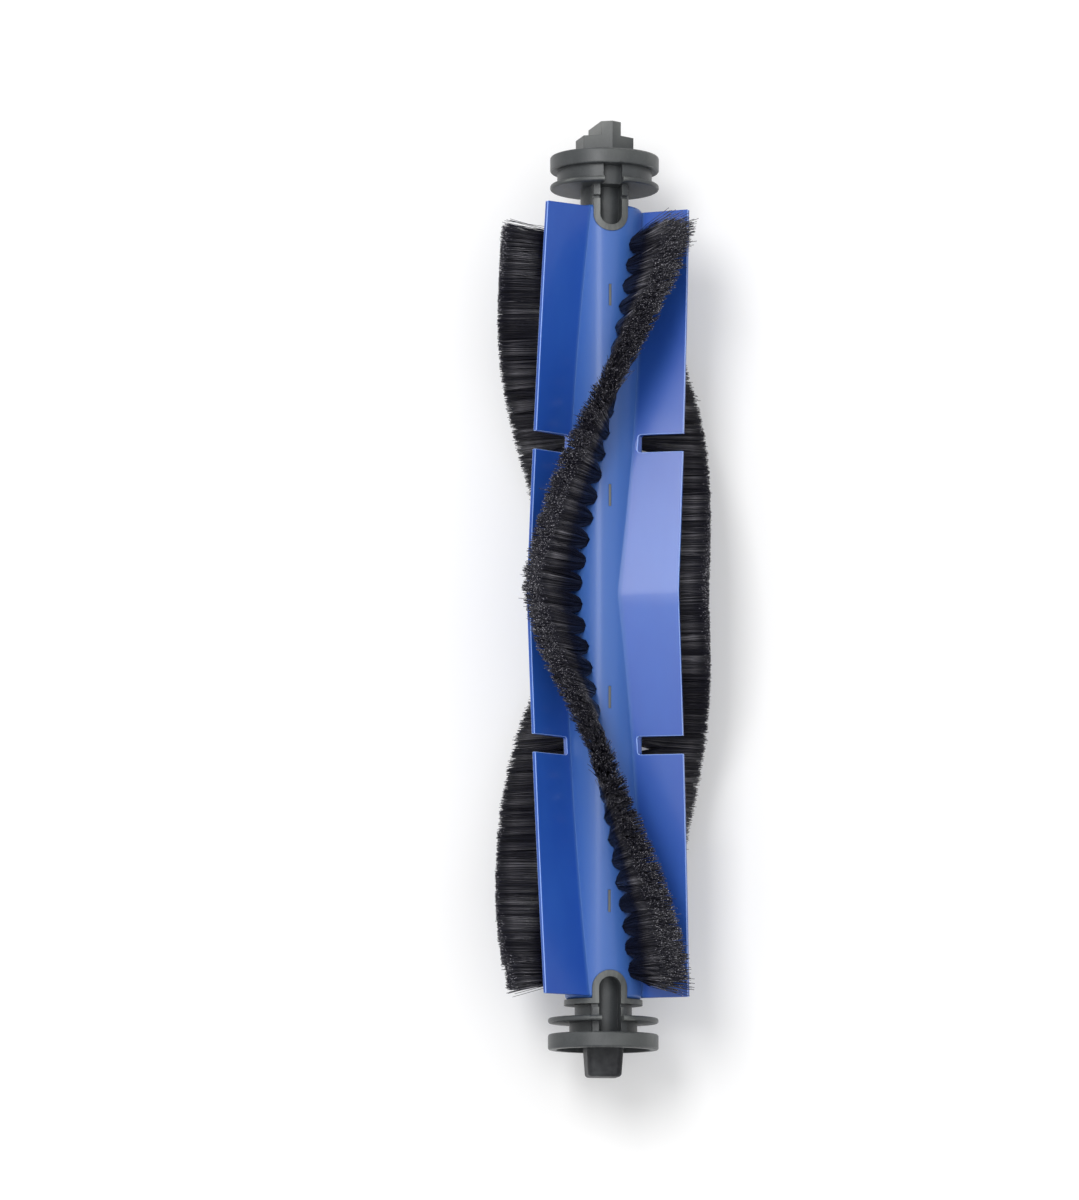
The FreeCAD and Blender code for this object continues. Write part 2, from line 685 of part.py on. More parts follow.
def make_block():
    """The square block with drafted sides, rounded corners and a blind bore for its bush."""
    body = new_body("bearing_block")
    sketch = new_sketch(body, "block_outline", "XZ_Plane")
    side = "(Sizes.block_width / 2)"
    draw_polygon(sketch, [(side, side), (f"-{side}", side), (f"-{side}", f"-{side}"), (side, f"-{side}")])
    bind(sketch, AttachmentOffset__Base__z=f"-{BLOCK_FACE}")
    pad = body.newObject("PartDesign::Pad", "block_pad")
    pad.Profile = sketch
    bind(pad, Length="Sizes.block_length", TaperAngle="-Sizes.block_draft")
    doc.recompute()
    inner = size(BLOCK_FACE)
    outer = inner - size("block_length")

    def runs_along(edge):
        return abs(edge.Vertexes[0].Y - edge.Vertexes[-1].Y) > size("block_length") / 2

    def at_the_end(edge):
        return all(abs(vertex.Y - outer) < 1e-4 for vertex in edge.Vertexes)

    corners = round_edges(body, "block_corners", pad, "Sizes.block_round", runs_along)
    rim = round_edges(body, "block_rim", corners, "Sizes.block_edge", at_the_end)
    bore = new_sketch(body, "block_bore_outline", "XZ_Plane")
    circle = bore.addGeometry(Part.Circle(Vector(), Vector(0, 0, 1), size(BUSH_RADIUS)))
    bore.addConstraint(Sketcher.Constraint("Coincident", circle, 3, -1, 1))
    radius = bore.addConstraint(Sketcher.Constraint("Radius", circle, size(BUSH_RADIUS)))
    bore.setExpression(f"Constraints[{radius}]", BUSH_RADIUS)
    bind(bore, AttachmentOffset__Base__z=f"-{BLOCK_FACE}")
    pocket = body.newObject("PartDesign::Pocket", "block_bore")
    pocket.Profile = bore
    pocket.Reversed = True
    bind(pocket, Length="Sizes.bush_length")
    doc.recompute()
    removed = rim.Shape.Volume - pocket.Shape.Volume
    expected = math.pi * size(BUSH_RADIUS) ** 2 * size("bush_length")
    if abs(removed - expected) > 0.01 * expected:
        raise RuntimeError("the block's bore is not cut")
    return body


def make_parts():
    """Every sub-part, by the name of its node."""
    places = tuft_places()
    every_place = [row_turn(row).multiply(p) for row in range(int(size("row_count"))) for p in places]
    tuft = make_tuft()
    sockets = repeated("tuft_sockets", make_socket(), every_place)
    staple = make_staple()
    staple_slots = repeated("staple_slots", staple, every_place)
    keys = make_keys()
    slits = make_slits()
    parts = {
        "roller_core": make_core(keys, slits, sockets, staple_slots),
        "blade_sleeve": make_sleeve(keys, slits, sockets),
        "tuft_staples": repeated("tuft_staples", staple, every_place),
        "bearing_pin": make_pin(),
        "bearing_bush": make_bush(),
        "bearing_block": make_block(),
    }
    turned_by(parts["bearing_block"], "Sizes.block_angle")
    for row in range(int(size("row_count"))):
        name = f"bristle_row_{row + 1}"
        parts[name] = repeated(name, tuft, [row_turn(row).multiply(p) for p in places])
    doc.recompute()
    return parts


def stand_on_floor(parts):
    """Lift every sub-part so that the lowest bristle tips rest on the floor."""
    lift = -min(vertex.Z for part in parts.values() for vertex in part.Shape.Vertexes)
    for part in parts.values():
        part.Placement = Placement(Vector(0, 0, lift), part.Placement.Rotation)
    print("axle height", round(lift, 3))


def check_document(parts):
    """Stop on a failed object or on a shape that is empty or broken."""
    failed = [o.Name for o in doc.Objects if {"Invalid", "Error"} & set(o.State)]
    if failed:
        raise RuntimeError("these objects failed: " + ", ".join(failed))
    for name, part in parts.items():
        if part.Shape.isNull() or not part.Shape.isValid() or not part.Shape.Solids:
            raise RuntimeError(f"{name} has no sound solid")


def main():
    parts = make_parts()
    for name, part in parts.items():
        part.Label = name
    stand_on_floor(parts)
    check_document(parts)
    os.makedirs("parts", exist_ok=True)
    for name, part in parts.items():
        part.Shape.exportStep(f"parts/{name}.step")
        print(name, len(part.Shape.Solids), "solids", round(part.Shape.Volume, 1), "mm3")


main()
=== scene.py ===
"""Robot vacuum roller brush: bristles, finishes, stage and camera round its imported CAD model."""

import json
import math

import bmesh
import bpy
import numpy as np
from bpy.props import FloatProperty, FloatVectorProperty, IntProperty, PointerProperty
from mathutils import Matrix, Vector


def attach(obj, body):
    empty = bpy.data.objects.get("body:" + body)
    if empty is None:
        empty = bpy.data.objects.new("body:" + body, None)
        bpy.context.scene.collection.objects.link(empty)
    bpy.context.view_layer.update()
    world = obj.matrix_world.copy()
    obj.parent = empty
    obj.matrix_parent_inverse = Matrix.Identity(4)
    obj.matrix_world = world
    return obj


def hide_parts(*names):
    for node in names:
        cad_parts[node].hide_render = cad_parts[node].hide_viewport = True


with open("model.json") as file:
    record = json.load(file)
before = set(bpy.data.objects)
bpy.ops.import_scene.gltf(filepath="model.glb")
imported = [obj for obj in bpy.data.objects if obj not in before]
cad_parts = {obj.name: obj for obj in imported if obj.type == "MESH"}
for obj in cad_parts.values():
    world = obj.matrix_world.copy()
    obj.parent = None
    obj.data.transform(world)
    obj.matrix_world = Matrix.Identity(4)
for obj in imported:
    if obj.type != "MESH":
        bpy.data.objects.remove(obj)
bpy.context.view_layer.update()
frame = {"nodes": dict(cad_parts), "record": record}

bl_info = {
    "name": "Roller Brush",
    "version": (1, 0, 0),
    "blender": (4, 5, 0),
    "location": "3D View > Sidebar > Roller Brush",
    "description": "Grows the bristles of a vacuum roller brush and finishes its CAD pieces",
    "category": "Object",
}

MM = 0.001
AXLE_HEIGHT = frame["record"]["behaviour"]["joints"][0]["pos_m"][2]
BRISTLE_ROWS = ("bristle_row_1", "bristle_row_2", "bristle_row_3")

# Steps from a filament's root to its tip, and how far it has flared, leant and fanned out at each
STEPS = np.array((0.0, 0.38, 1.0))
FLARE = np.array((0.0, 0.72, 1.0))
LEAN = np.array((0.0, 0.36, 1.0))
FAN = np.array((0.0, 0.22, 1.0))
TUBE_SIDES = 3

# Spread of the filaments in a tuft, their clumps, and the strays among them
GOLDEN_STEPS = (0.7548776662, 0.5698402910)
SPREAD_JITTER = 0.03
CLING_RANGE = (0.3, 1.3)
CLUMP_LEAN = 0.06
CLUMP_TONE = 0.58
FILAMENT_TONE = 0.42
STRAY_SHARE = 0.04
STRAY_BEND = 2
FAN_BEND = 2

# Tufts along a row: the fan of the last ones, the splay, and where along the axle use has pushed the tips
END_FANS = (1.0, 0.45, 0.15)
SPLAY_POWER = 4
PUSH_PLACES = np.array((-54, -30, -22, -10, 0, 10, 21, 34, 47, 60)) * MM
PUSHES = np.array((1.0, 0.8, 0.5, -0.6, -0.1, -1.1, -1.4, -1.0, 0.0, 0.7))

# Height within which the corners of a tuft's solid lie level, and the distance at which corners are one
LEVEL = 0.2 * MM
WELD = 0.001 * MM

# The sleeve's barrel, the blades that stand on it, and the bends that are rounded or shaded as one
SLEEVE_RADIUS = 7.2 * MM
BARREL_SLACK = 0.02 * MM
ON_BARREL = 0.97
FOOT_LOW = 7.3 * MM
FOOT_HIGH = 7.9 * MM
BLADE_START = 8.0 * MM
BLADE_REACH = 20.0 * MM
SHARP_ANGLE = math.radians(32)
SMOOTH_COSINE = math.cos(math.radians(22))

# Materials: pointiness where painted edge highlights start and are full, soft bevel rays, metal stain shade
EDGE_HIGHLIGHT_START = 0.51
EDGE_HIGHLIGHT_FULL = 0.6
BEVEL_SAMPLES = 6
STAIN_SHADE = 0.7

# Places of the lamps
KEY_PLACE = Vector((-0.265, 0.262, 0.928))
CEILING_PLACE = Vector((0, 0, 1.7))


def linear(red, green, blue):
    """A colour that is picked on screen, in 0 to 255, as Blender's linear light."""
    shares = [channel / 255 for channel in (red, green, blue)]
    return tuple(s / 12.92 if s < 0.04045 else ((s + 0.055) / 1.055) ** 2.4 for s in shares)


def colour_property(name, description, *screen):
    """A setting for a colour that is picked on screen."""
    return FloatVectorProperty(
        name=name, description=description, subtype="COLOR", size=3, min=0, max=1, default=linear(*screen)
    )


def length_property(name, description, millimetres):
    """A setting for a length."""
    return FloatProperty(
        name=name, description=description, unit="LENGTH", precision=5, default=millimetres * MM
    )


# Settings that a user would change

class BristleSettings(bpy.types.PropertyGroup):
    """Sizes and colours of the bristle tufts."""

    filaments: IntProperty(name="Filaments", description="Filaments in one tuft", default=600, min=1)
    gauge: length_property("Gauge", "Diameter of one filament", 0.115)
    root_radius: length_property("Root radius", "Radius of a tuft in its socket", 1.34)
    root_depth: length_property("Root depth", "How deep the filaments start in their socket", 0.8)
    clumps: IntProperty(name="Clumps", description="Clumps of filaments in one tuft", default=36, min=1)
    cling: FloatProperty(
        name="Cling", description="How far a clump draws together", subtype="FACTOR", default=0.28
    )
    overlap: length_property("Overlap", "How far the tips of neighbouring tufts mix", 0.5)
    trim: length_property("Trim", "How far the tips are cut back from the tufts' solids", 0.25)
    ragged: length_property("Ragged", "Spread of the filaments' lengths", 0.45)
    bend: length_property("Bend", "Spread of the sideways bend at the tips", 0.22)
    push: length_property("Push", "How far use has pushed the tips aside where they bend most", 1.5)
    end_fan: length_property("End fan", "How far the last tuft of a row fans out along the axle", 2.2)
    end_wear: length_property("End wear", "How much shorter the last tuft is at the bearing end", 1.4)
    end_splay: FloatProperty(
        name="End splay", description="Share by which tips spread wider at a row's ends",
        subtype="FACTOR", default=0.4
    )
    root_colour: colour_property("Root colour", "Filaments near the socket", 21, 21, 34)
    side_colour: colour_property("Side colour", "Filaments near their tips", 23, 23, 31)
    # Painted sheen: a pale colour that stands in for light glancing along the filaments towards their tips.
    painted_sheen_colour: colour_property("Sheen colour", "Palest filaments near their tips", 156, 154, 163)
    tip_colour: colour_property("Tip colour", "Cut ends of the filaments", 182, 180, 189)
    seed: IntProperty(name="Seed", description="Start of the random draws", default=7)


class FinishSettings(bpy.types.PropertyGroup):
    """Colours of the moulded and turned pieces."""

    blade_deep: colour_property("Blade, deep", "Elastomer where the melt runs dark", 29, 75, 166)
    blade_pale: colour_property("Blade, pale", "Elastomer where the melt runs light", 39, 88, 177)
    # Barrel: the same elastomer as the blades, painted paler as a painted highlight where the barrel catches
    # the light.
    barrel: colour_property("Barrel", "Elastomer over the core, a little rubbed", 58, 99, 171)
    # Painted highlight along the rounded blade edges.
    blade_rim_highlight: colour_property("Blade rim", "Elastomer on the rounded blade edges", 141, 173, 241)
    edge_round: length_property("Edge round", "Rounding of the blade edges", 0.12)
    core: colour_property("Core", "Glass-filled plastic of the core and its ends", 52, 55, 57)
    # Core, pale: real flow marks, and the painted highlight on the block's sharp edges.
    core_pale_and_edge_highlight: colour_property("Core, pale", "Its flow marks, and the block's rubbed edges", 84, 87, 89)
    # Painted highlight on the core's sharp edges.
    core_edge_highlight: colour_property("Core, rubbed", "Its rubbed edges", 160, 163, 158)
    block: colour_property("Bearing block", "Plastic of the bearing block", 28, 28, 32)
    steel: colour_property("Steel", "Bearing pin and staples", 186, 187, 190)
    bronze: colour_property("Bronze", "Sintered bearing bush", 164, 122, 72)


class StageSettings(bpy.types.PropertyGroup):
    """Floor, lamps and camera."""

    floor_colour: colour_property("Floor", "Sheet that the roller lies on", 255, 255, 255)
    floor_white: FloatProperty(
        name="Floor white", description="Share of the sheet that is seen as plain white",
        subtype="FACTOR", default=0.2, min=0, max=1
    )
    floor_size: length_property("Floor size", "Length of the sheet's side", 6000)
    world_light: FloatProperty(name="Room light", description="Even light of the studio", default=0.21)
    key_power: FloatProperty(
        name="Key lamp", description="Soft lamp at upper left", unit="POWER", default=4.0
    )
    key_width: length_property("Key lamp width", "Size of the soft lamp across the axle", 260)
    key_length: length_property("Key lamp length", "Size of the soft lamp along the axle", 440)
    ceiling_power: FloatProperty(
        name="Ceiling", description="Wide lamp overhead", unit="POWER", default=32
    )
    ceiling_size: length_property("Ceiling size", "Side of the wide lamp", 3000)
    camera_distance: length_property("Distance", "From the camera to the axle", 1230)
    camera_elevation: FloatProperty(
        name="Elevation", description="Camera above the horizon", subtype="ANGLE", default=math.radians(82.5)
    )
    camera_roll: FloatProperty(
        name="Roll", description="Turn of the picture", subtype="ANGLE", default=math.radians(0.16)
    )
    camera_aside: length_property("Aside", "How far left of the axle the camera looks", 12.2)
    camera_along: length_property("Along", "How far towards the drive end the camera looks", 0.4)
    focal: FloatProperty(
        name="Focal length", description="Lens for a picture 36 mm high", unit="CAMERA", default=194.7
    )


class RollerBrushSettings(bpy.types.PropertyGroup):
    """All settings of the roller brush."""

    bristles: PointerProperty(name="Bristles", description="The bristle tufts", type=BristleSettings)
    finishes: PointerProperty(name="Finishes", description="The other pieces", type=FinishSettings)
    stage: PointerProperty(name="Stage", description="The floor, lamps and camera", type=StageSettings)


# Materials

class Signal:
    """A node's output that can stand in a sum: each operator adds one Math node."""

    def __init__(self, sheet, socket):
        self.sheet = sheet
        self.socket = socket

    def math(self, operation, first, second):
        return self.sheet.node("ShaderNodeMath", {"operation": operation}, {0: first, 1: second})

    def __add__(self, other):
        return self.math("ADD", self, other)

    def __radd__(self, other):
        return self.math("ADD", other, self)

    def __sub__(self, other):
        return self.math("SUBTRACT", self, other)

    def __rsub__(self, other):
        return self.math("SUBTRACT", other, self)

    def __mul__(self, other):
        return self.math("MULTIPLY", self, other)

    def __rmul__(self, other):
        return self.math("MULTIPLY", other, self)

    def __pow__(self, other):
        return self.math("POWER", self, other)

    def __rpow__(self, other):
        return self.math("POWER", other, self)


class NodeSheet:
    """A node tree that is filled node by node."""

    def __init__(self, owner):
        owner.use_nodes = True
        self.tree = owner.node_tree
        self.tree.nodes.clear()

    def node(self, kind, settings=None, sockets=None, output=0):
        """Adds a node with its settings, then the values or links of its sockets, and gives its output."""
        made = self.tree.nodes.new(kind)
        for name, value in (settings or {}).items():
            if name == "stops":
                self.set_stops(made.color_ramp, value)
            else:
                setattr(made, name, value)
        for name, value in (sockets or {}).items():
            if isinstance(value, Signal):
                self.tree.links.new(value.socket, made.inputs[name])
            elif made.inputs[name].type == "RGBA":
                made.inputs[name].default_value = (*value[:3], 1)
            else:
                made.inputs[name].default_value = value
        return Signal(self, made.outputs[output]) if made.outputs else None

    def seen(self):
        """1 for what the camera sees, straight or in mirror-like and clear surfaces, and 0 for light."""
        kinds = ("Is Camera Ray", "Is Glossy Ray", "Is Transmission Ray")
        camera, glossy, through = (self.node("ShaderNodeLightPath", output=kind) for kind in kinds)
        return camera + glossy + through

    @staticmethod
    def set_stops(ramp, stops):
        """Gives a ramp its greys, each with its place."""
        while len(ramp.elements) < len(stops):
            ramp.elements.new(1)
        for element, (place, value) in zip(ramp.elements, stops):
            element.position = place
            element.color = (value, value, value, 1)


class Finish(NodeSheet):
    """One procedural material."""

    def __init__(self, name):
        self.material = bpy.data.materials.new(name)
        super().__init__(self.material)

    def place(self):
        """The shaded point in the object's own frame."""
        return self.node("ShaderNodeTexCoord", output="Object")

    def noise(self, spacing, detail, stretch=None):
        """A cloudy value from 0 to 1 in lumps a spacing apart; a stretch under 1 draws them out."""
        where = self.place()
        if stretch:
            where = self.node("ShaderNodeMapping", None, {"Vector": where, "Scale": stretch})
        sockets = {"Vector": where, "Scale": 1 / spacing, "Detail": detail}
        return self.node("ShaderNodeTexNoise", None, sockets)

    def ramp(self, value, stops):
        """A value that runs through the stops, each a place and what it becomes there."""
        return self.node("ShaderNodeValToRGB", {"stops": stops}, {"Fac": value})

    def mix(self, share, first, second):
        """A colour between two, the second by its share."""
        sockets = {0: share, 6: first, 7: second}
        return self.node("ShaderNodeMix", {"data_type": "RGBA"}, sockets, output=2)

    def from_axle(self):
        """The distance of the shaded point from the axle."""
        factors = {0: self.place(), 1: (1, 0, 1)}
        flat = self.node("ShaderNodeVectorMath", {"operation": "MULTIPLY"}, factors)
        ends = {0: flat, 1: (0, 0, AXLE_HEIGHT)}
        return self.node("ShaderNodeVectorMath", {"operation": "DISTANCE"}, ends, output="Value")

    def attribute(self, name):
        """A value that the mesh carries."""
        return self.node("ShaderNodeAttribute", {"attribute_name": name}, output="Fac")

    def edges(self):
        """1 on sharp outer edges, where highlights are painted, and 0 on flats and hollows."""
        bend = self.node("ShaderNodeNewGeometry", output="Pointiness")
        return self.ramp(bend, [(EDGE_HIGHLIGHT_START, 0), (EDGE_HIGHLIGHT_FULL, 1)])

    def bump(self, height, depth, strength, rounding=None):
        """A normal for a height that varies, over edges that look rounded where a radius is given."""
        sockets = {"Height": height, "Distance": depth, "Strength": strength}
        if rounding:
            sockets["Normal"] = self.node("ShaderNodeBevel", {"samples": BEVEL_SAMPLES}, {"Radius": rounding})
        return self.node("ShaderNodeBump", None, sockets)

    def surface(self, **sockets):
        """Closes the material with a Principled shader, whose sockets are named with underscores."""
        named = {name.replace("_", " "): value for name, value in sockets.items()}
        shader = self.node("ShaderNodeBsdfPrincipled", None, named)
        self.node("ShaderNodeOutputMaterial", None, {"Surface": shader})
        return self.material


def blade_rubber(colours):
    """Soft moulded elastomer: faint flow marks, a fine matt grain, light that soaks in, painted highlights.
    """
    finish = Finish("blade_rubber")
    flow = finish.noise(11 * MM, detail=3, stretch=(1, 0.35, 1))
    grain = finish.noise(0.22 * MM, detail=2)
    foot = [(FOOT_LOW / BLADE_REACH, 1), (FOOT_HIGH / BLADE_REACH, 0)]
    on_barrel = finish.ramp(finish.from_axle() * (1 / BLADE_REACH), foot)
    flow_marks = finish.ramp(flow, [(0.3, 0), (0.7, 1)])
    blade = finish.mix(flow_marks, colours.blade_deep, colours.blade_pale)
    # Painted highlight: the barrel is painted paler than the blades.
    skin = finish.mix(on_barrel, blade, colours.barrel)
    return finish.surface(
        # Painted highlight on the rim faces of the rounded blade edges.
        Base_Color=finish.mix(finish.attribute("rim"), skin, colours.blade_rim_highlight),
        Roughness=0.42 + 0.08 * flow + 0.05 * grain,
        Specular_IOR_Level=0.28,
        Coat_Weight=0.47 - 0.27 * on_barrel,
        Coat_Roughness=0.21,
        Normal=finish.bump(grain, depth=0.02 * MM, strength=0.2, rounding=0.35 * MM),
        Subsurface_Weight=0.2,
        Subsurface_Radius=(0.25, 0.45, 1.0),
        Subsurface_Scale=1.0 * MM,
    )


def core_plastic(colours):
    """Filled dark plastic: mottled by its filler, with flow marks and painted pale highlights on its edges.
    """
    finish = Finish("core_plastic")
    flow = finish.noise(4 * MM, detail=4)
    fleck = finish.noise(0.3 * MM, detail=3)
    flow_marks = finish.ramp(flow, [(0.4, 0), (0.75, 1)])
    filler = finish.ramp(fleck, [(0.5, 0), (0.8, 1)])
    body = finish.mix(0.35 * flow_marks + 0.2 * filler, colours.core, colours.core_pale_and_edge_highlight)
    return finish.surface(
        # Painted highlight on the sharp edges.
        Base_Color=finish.mix(0.25 * finish.edges(), body, colours.core_edge_highlight),
        Roughness=0.34 + 0.16 * fleck,
        Specular_IOR_Level=0.4,
        Normal=finish.bump(fleck + 0.6 * flow, depth=0.03 * MM, strength=0.5, rounding=0.12 * MM),
    )


def block_plastic(colours):
    """Smoother bearing plastic with a faint moulded grain and painted pale highlights on its edges."""
    finish = Finish("block_plastic")
    flow = finish.noise(3 * MM, detail=3)
    grain = finish.noise(0.25 * MM, detail=2)
    flow_marks = finish.ramp(flow, [(0.35, 0), (0.8, 1)])
    body = finish.mix(0.5 * flow_marks, colours.block, colours.core_pale_and_edge_highlight)
    return finish.surface(
        # Painted highlight on the block's sharp edges.
        Base_Color=finish.mix(0.3 * finish.edges(), body, colours.core_pale_and_edge_highlight),
        Roughness=0.4 + 0.15 * grain,
        Specular_IOR_Level=0.18,
        Normal=finish.bump(grain, depth=0.025 * MM, strength=0.4, rounding=0.15 * MM),
    )


def turned_metal(name, colour, roughness, stretch):
    """Metal with fine marks drawn out along the tool's path."""
    finish = Finish(name)
    marks = finish.noise(0.12 * MM, detail=3, stretch=stretch)
    stain = finish.noise(2 * MM, detail=3)
    dark = tuple(channel * STAIN_SHADE for channel in colour)
    return finish.surface(
        Base_Color=finish.mix(0.5 * stain + 0.3 * marks, colour, dark),
        Metallic=1.0,
        Roughness=roughness + 0.2 * marks,
        Normal=finish.bump(marks, depth=0.01 * MM, strength=0.3),
    )


def bristle_fibre(bristles):
    """Black nylon filament in uneven tones, a painted sheen towards its tips, and pale cut ends as a speckle.
    """
    finish = Finish("bristle_fibre")
    along = finish.attribute("along")
    tone = finish.attribute("tone")
    # Painted sheen: the higher a filament's tone, the paler it is painted along the outer part of its length.
    painted_sheen = finish.mix(tone ** 3, bristles.side_colour, bristles.painted_sheen_colour)
    outer = finish.ramp(along, [(0.5, 0), (0.8, 0.85), (0.93, 0.06)])
    side = finish.mix(outer, bristles.root_colour, painted_sheen)
    speckle = finish.ramp(finish.noise(0.3 * MM, detail=1), [(0.59, 0), (0.67, 1)])
    cut = finish.ramp(along, [(0.96, 0), (0.985, 1)]) * speckle
    return finish.surface(
        Base_Color=finish.mix(cut, side, bristles.tip_colour),
        Roughness=0.3 + 0.2 * tone,
        Specular_IOR_Level=0.2,
        Coat_Weight=finish.ramp(tone, [(0.5, 0), (0.8, 1)]),
        Coat_Roughness=0.25,
    )


def give_finish(node, material):
    """Puts a material on a CAD node in place of its plain one."""
    target = frame["nodes"][node]
    if not target.material_slots:
        target.data.materials.append(material)
    for slot in target.material_slots:
        slot.material = material


# Sleeve and blades

def welded_copy(node):
    """A CAD node's mesh with its faces joined along their shared edges."""
    shape = bmesh.new()
    shape.from_mesh(frame["nodes"][node].data)
    bmesh.ops.remove_doubles(shape, verts=shape.verts, dist=WELD)
    return shape


def from_axle(point):
    """The distance of a point from the axle."""
    return math.hypot(point.x, point.z - AXLE_HEIGHT)


def true_normals(mesh):
    """Shading normals of the sleeve: radial on the plain barrel, elsewhere led by the largest faces."""
    around = [[] for _ in mesh.vertices]
    for face in mesh.polygons:
        for vertex in face.vertices:
            around[vertex].append(face)
    normals = []
    for face in mesh.polygons:
        for vertex in face.vertices:
            point = mesh.vertices[vertex].co
            outward = Vector((point.x, 0, point.z - AXLE_HEIGHT)).normalized()
            if abs(from_axle(point) - SLEEVE_RADIUS) < BARREL_SLACK and face.normal @ outward > ON_BARREL:
                normals.append(outward)
                continue
            smooth = [other for other in around[vertex] if other.normal @ face.normal > SMOOTH_COSINE]
            normals.append(sum((other.normal * other.area for other in smooth), Vector()).normalized())
    return normals


def soften_sleeve(finishes):
    """The moulded sleeve with rounded blade edges, which it marks as rims for a painted highlight."""
    shape = welded_copy("blade_sleeve")
    rim = shape.faces.layers.float.new("rim")
    sharp = [
        edge for edge in shape.edges
        if edge.is_convex
        and edge.calc_face_angle() > SHARP_ANGLE
        and min(from_axle(vertex.co) for vertex in edge.verts) > BLADE_START
    ]
    rounded = bmesh.ops.bevel(
        shape, geom=sharp, offset=finishes.edge_round, segments=2, profile=0.5, affect="EDGES"
    )
    for face in rounded["faces"]:
        face[rim] = 1
    mesh = bpy.data.meshes.new("blade_sleeve_soft")
    shape.to_mesh(mesh)
    shape.free()
    mesh.shade_smooth()
    mesh.normals_split_custom_set(true_normals(mesh))
    piece = bpy.data.objects.new(mesh.name, mesh)
    bpy.context.scene.collection.objects.link(piece)
    return piece


# Bristles

class Tuft:
    """The place and flare of one tuft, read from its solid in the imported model."""

    def __init__(self, corners, bristles):
        self.along = np.array((0.0, 1.0, 0.0))
        middle = corners.mean(axis=0)
        axis = np.linalg.svd(corners - middle)[2][0]
        axis *= np.sign(axis @ (middle - np.array((0, middle[1], AXLE_HEIGHT))))
        self.across = np.cross(self.along, axis)
        self.across /= np.linalg.norm(self.across)
        self.outward = np.cross(self.across, self.along)
        places = (corners - middle) @ np.stack((self.along, self.across, self.outward), axis=1)
        height = places[:, 2]
        top = places[height > height.max() - LEVEL]
        centre = (top.max(axis=0) + top.min(axis=0)) / 2
        mouth = height[height > height.min() + LEVEL].min()
        line = middle + centre[0] * self.along + centre[1] * self.across
        self.root = line + self.outward * (mouth - bristles.root_depth)
        self.tip = line + self.outward * (height.max() - bristles.trim)
        axle = np.array((0, line[1], AXLE_HEIGHT))
        self.root_reach = (self.root - axle) @ self.outward
        self.tip_reach = (self.tip - axle) @ self.outward
        self.push = np.interp(line[1], PUSH_PLACES, PUSHES) * bristles.push
        self.tip += self.push * self.across
        self.lane = self.along
        self.half_span = np.abs(places[:, 0] - centre[0]).max()
        self.half_width = np.abs(places[:, 1] - centre[1]).max()


def join_lanes(tufts):
    """Spreads each tuft's tips in line with its neighbours' tips, so that a row's tips form one band."""
    for place, tuft in enumerate(tufts):
        before = tufts[max(place - 1, 0)]
        after = tufts[min(place + 1, len(tufts) - 1)]
        step = after.tip - before.tip
        tuft.lane = step / step[1]


def solids_of(node):
    """The corner points of each separate solid in a CAD node, in order along the axle."""
    shape = welded_copy(node)
    left = set(shape.verts)
    found = []
    while left:
        reached = [left.pop()]
        for vertex in reached:
            for edge in vertex.link_edges:
                other = edge.other_vert(vertex)
                if other in left:
                    left.remove(other)
                    reached.append(other)
        found.append(np.array([vertex.co[:] for vertex in reached]))
    shape.free()
    return sorted(found, key=lambda corners: corners[:, 1].mean())


def even_spread(count, draw):
    """Points spread evenly over the square from -1 to 1, a little disturbed."""
    steps = np.outer(np.arange(count) + draw.random(), GOLDEN_STEPS)
    points = 2 * (steps % 1) - 1
    return np.clip(points + draw.normal(0, SPREAD_JITTER, points.shape), -1, 1)


def gather_clumps(square, bristles, draw):
    """How far each filament's tip leaves its even place, because filaments cling in clumps, and its tone."""
    centres = even_spread(bristles.clumps, draw)
    nearest = ((square[:, None] - centres[None]) ** 2).sum(axis=2).argmin(axis=1)
    cling = bristles.cling * draw.uniform(*CLING_RANGE, (len(square), 1))
    lean = draw.normal(0, CLUMP_LEAN, centres.shape)
    tones = CLUMP_TONE * draw.random(len(centres))[nearest] + FILAMENT_TONE * draw.random(len(square))
    return cling * (centres[nearest] - square) + lean[nearest], tones


def filament_lines(tuft, fan, splay, bristles, draw):
    """The points of a tuft's filaments, by filament and step from root to tip, and the filaments' tones."""
    count = bristles.filaments
    square = even_spread(count, draw)
    disc = square * np.sqrt(1 - square[:, ::-1] ** 2 / 2) * bristles.root_radius
    drift, tones = gather_clumps(square, bristles, draw)
    tip = square + drift * (1 - abs(fan))
    strays = draw.random(count) < STRAY_SHARE
    loose = bristles.bend * (1 + STRAY_BEND * strays + FAN_BEND * abs(fan))
    tip_along = tip[:, 0] * (tuft.half_span + bristles.overlap) + draw.normal(0, loose)
    tip_across = tip[:, 1] * tuft.half_width * splay + tuft.push + draw.normal(0, loose)
    outer_side = np.clip(0.5 + 0.5 * square[:, 0] * np.sign(fan), 0, 1)
    shift = bristles.end_fan * fan * outer_side * draw.random(count) ** 2
    sideways = tip_across + tip_along * (tuft.lane @ tuft.across)
    reach = np.sqrt(tuft.tip_reach ** 2 - sideways ** 2)
    lengths = reach - tuft.root_reach - bristles.end_wear * max(-fan, 0)
    lengths -= np.abs(draw.normal(0, bristles.ragged, count)) - strays * draw.random(count) * bristles.trim
    rise = STEPS * lengths[:, None]
    root_along = disc[:, :1] * (1 - FLARE) + shift[:, None] * FAN
    across = disc[:, 1:] * (1 - LEAN) + tip_across[:, None] * LEAN
    lines = (
        tuft.root
        + rise[..., None] * tuft.outward
        + root_along[..., None] * tuft.along
        + (tip_along[:, None] * FLARE)[..., None] * tuft.lane
        + across[..., None] * tuft.across
    )
    return lines, tones


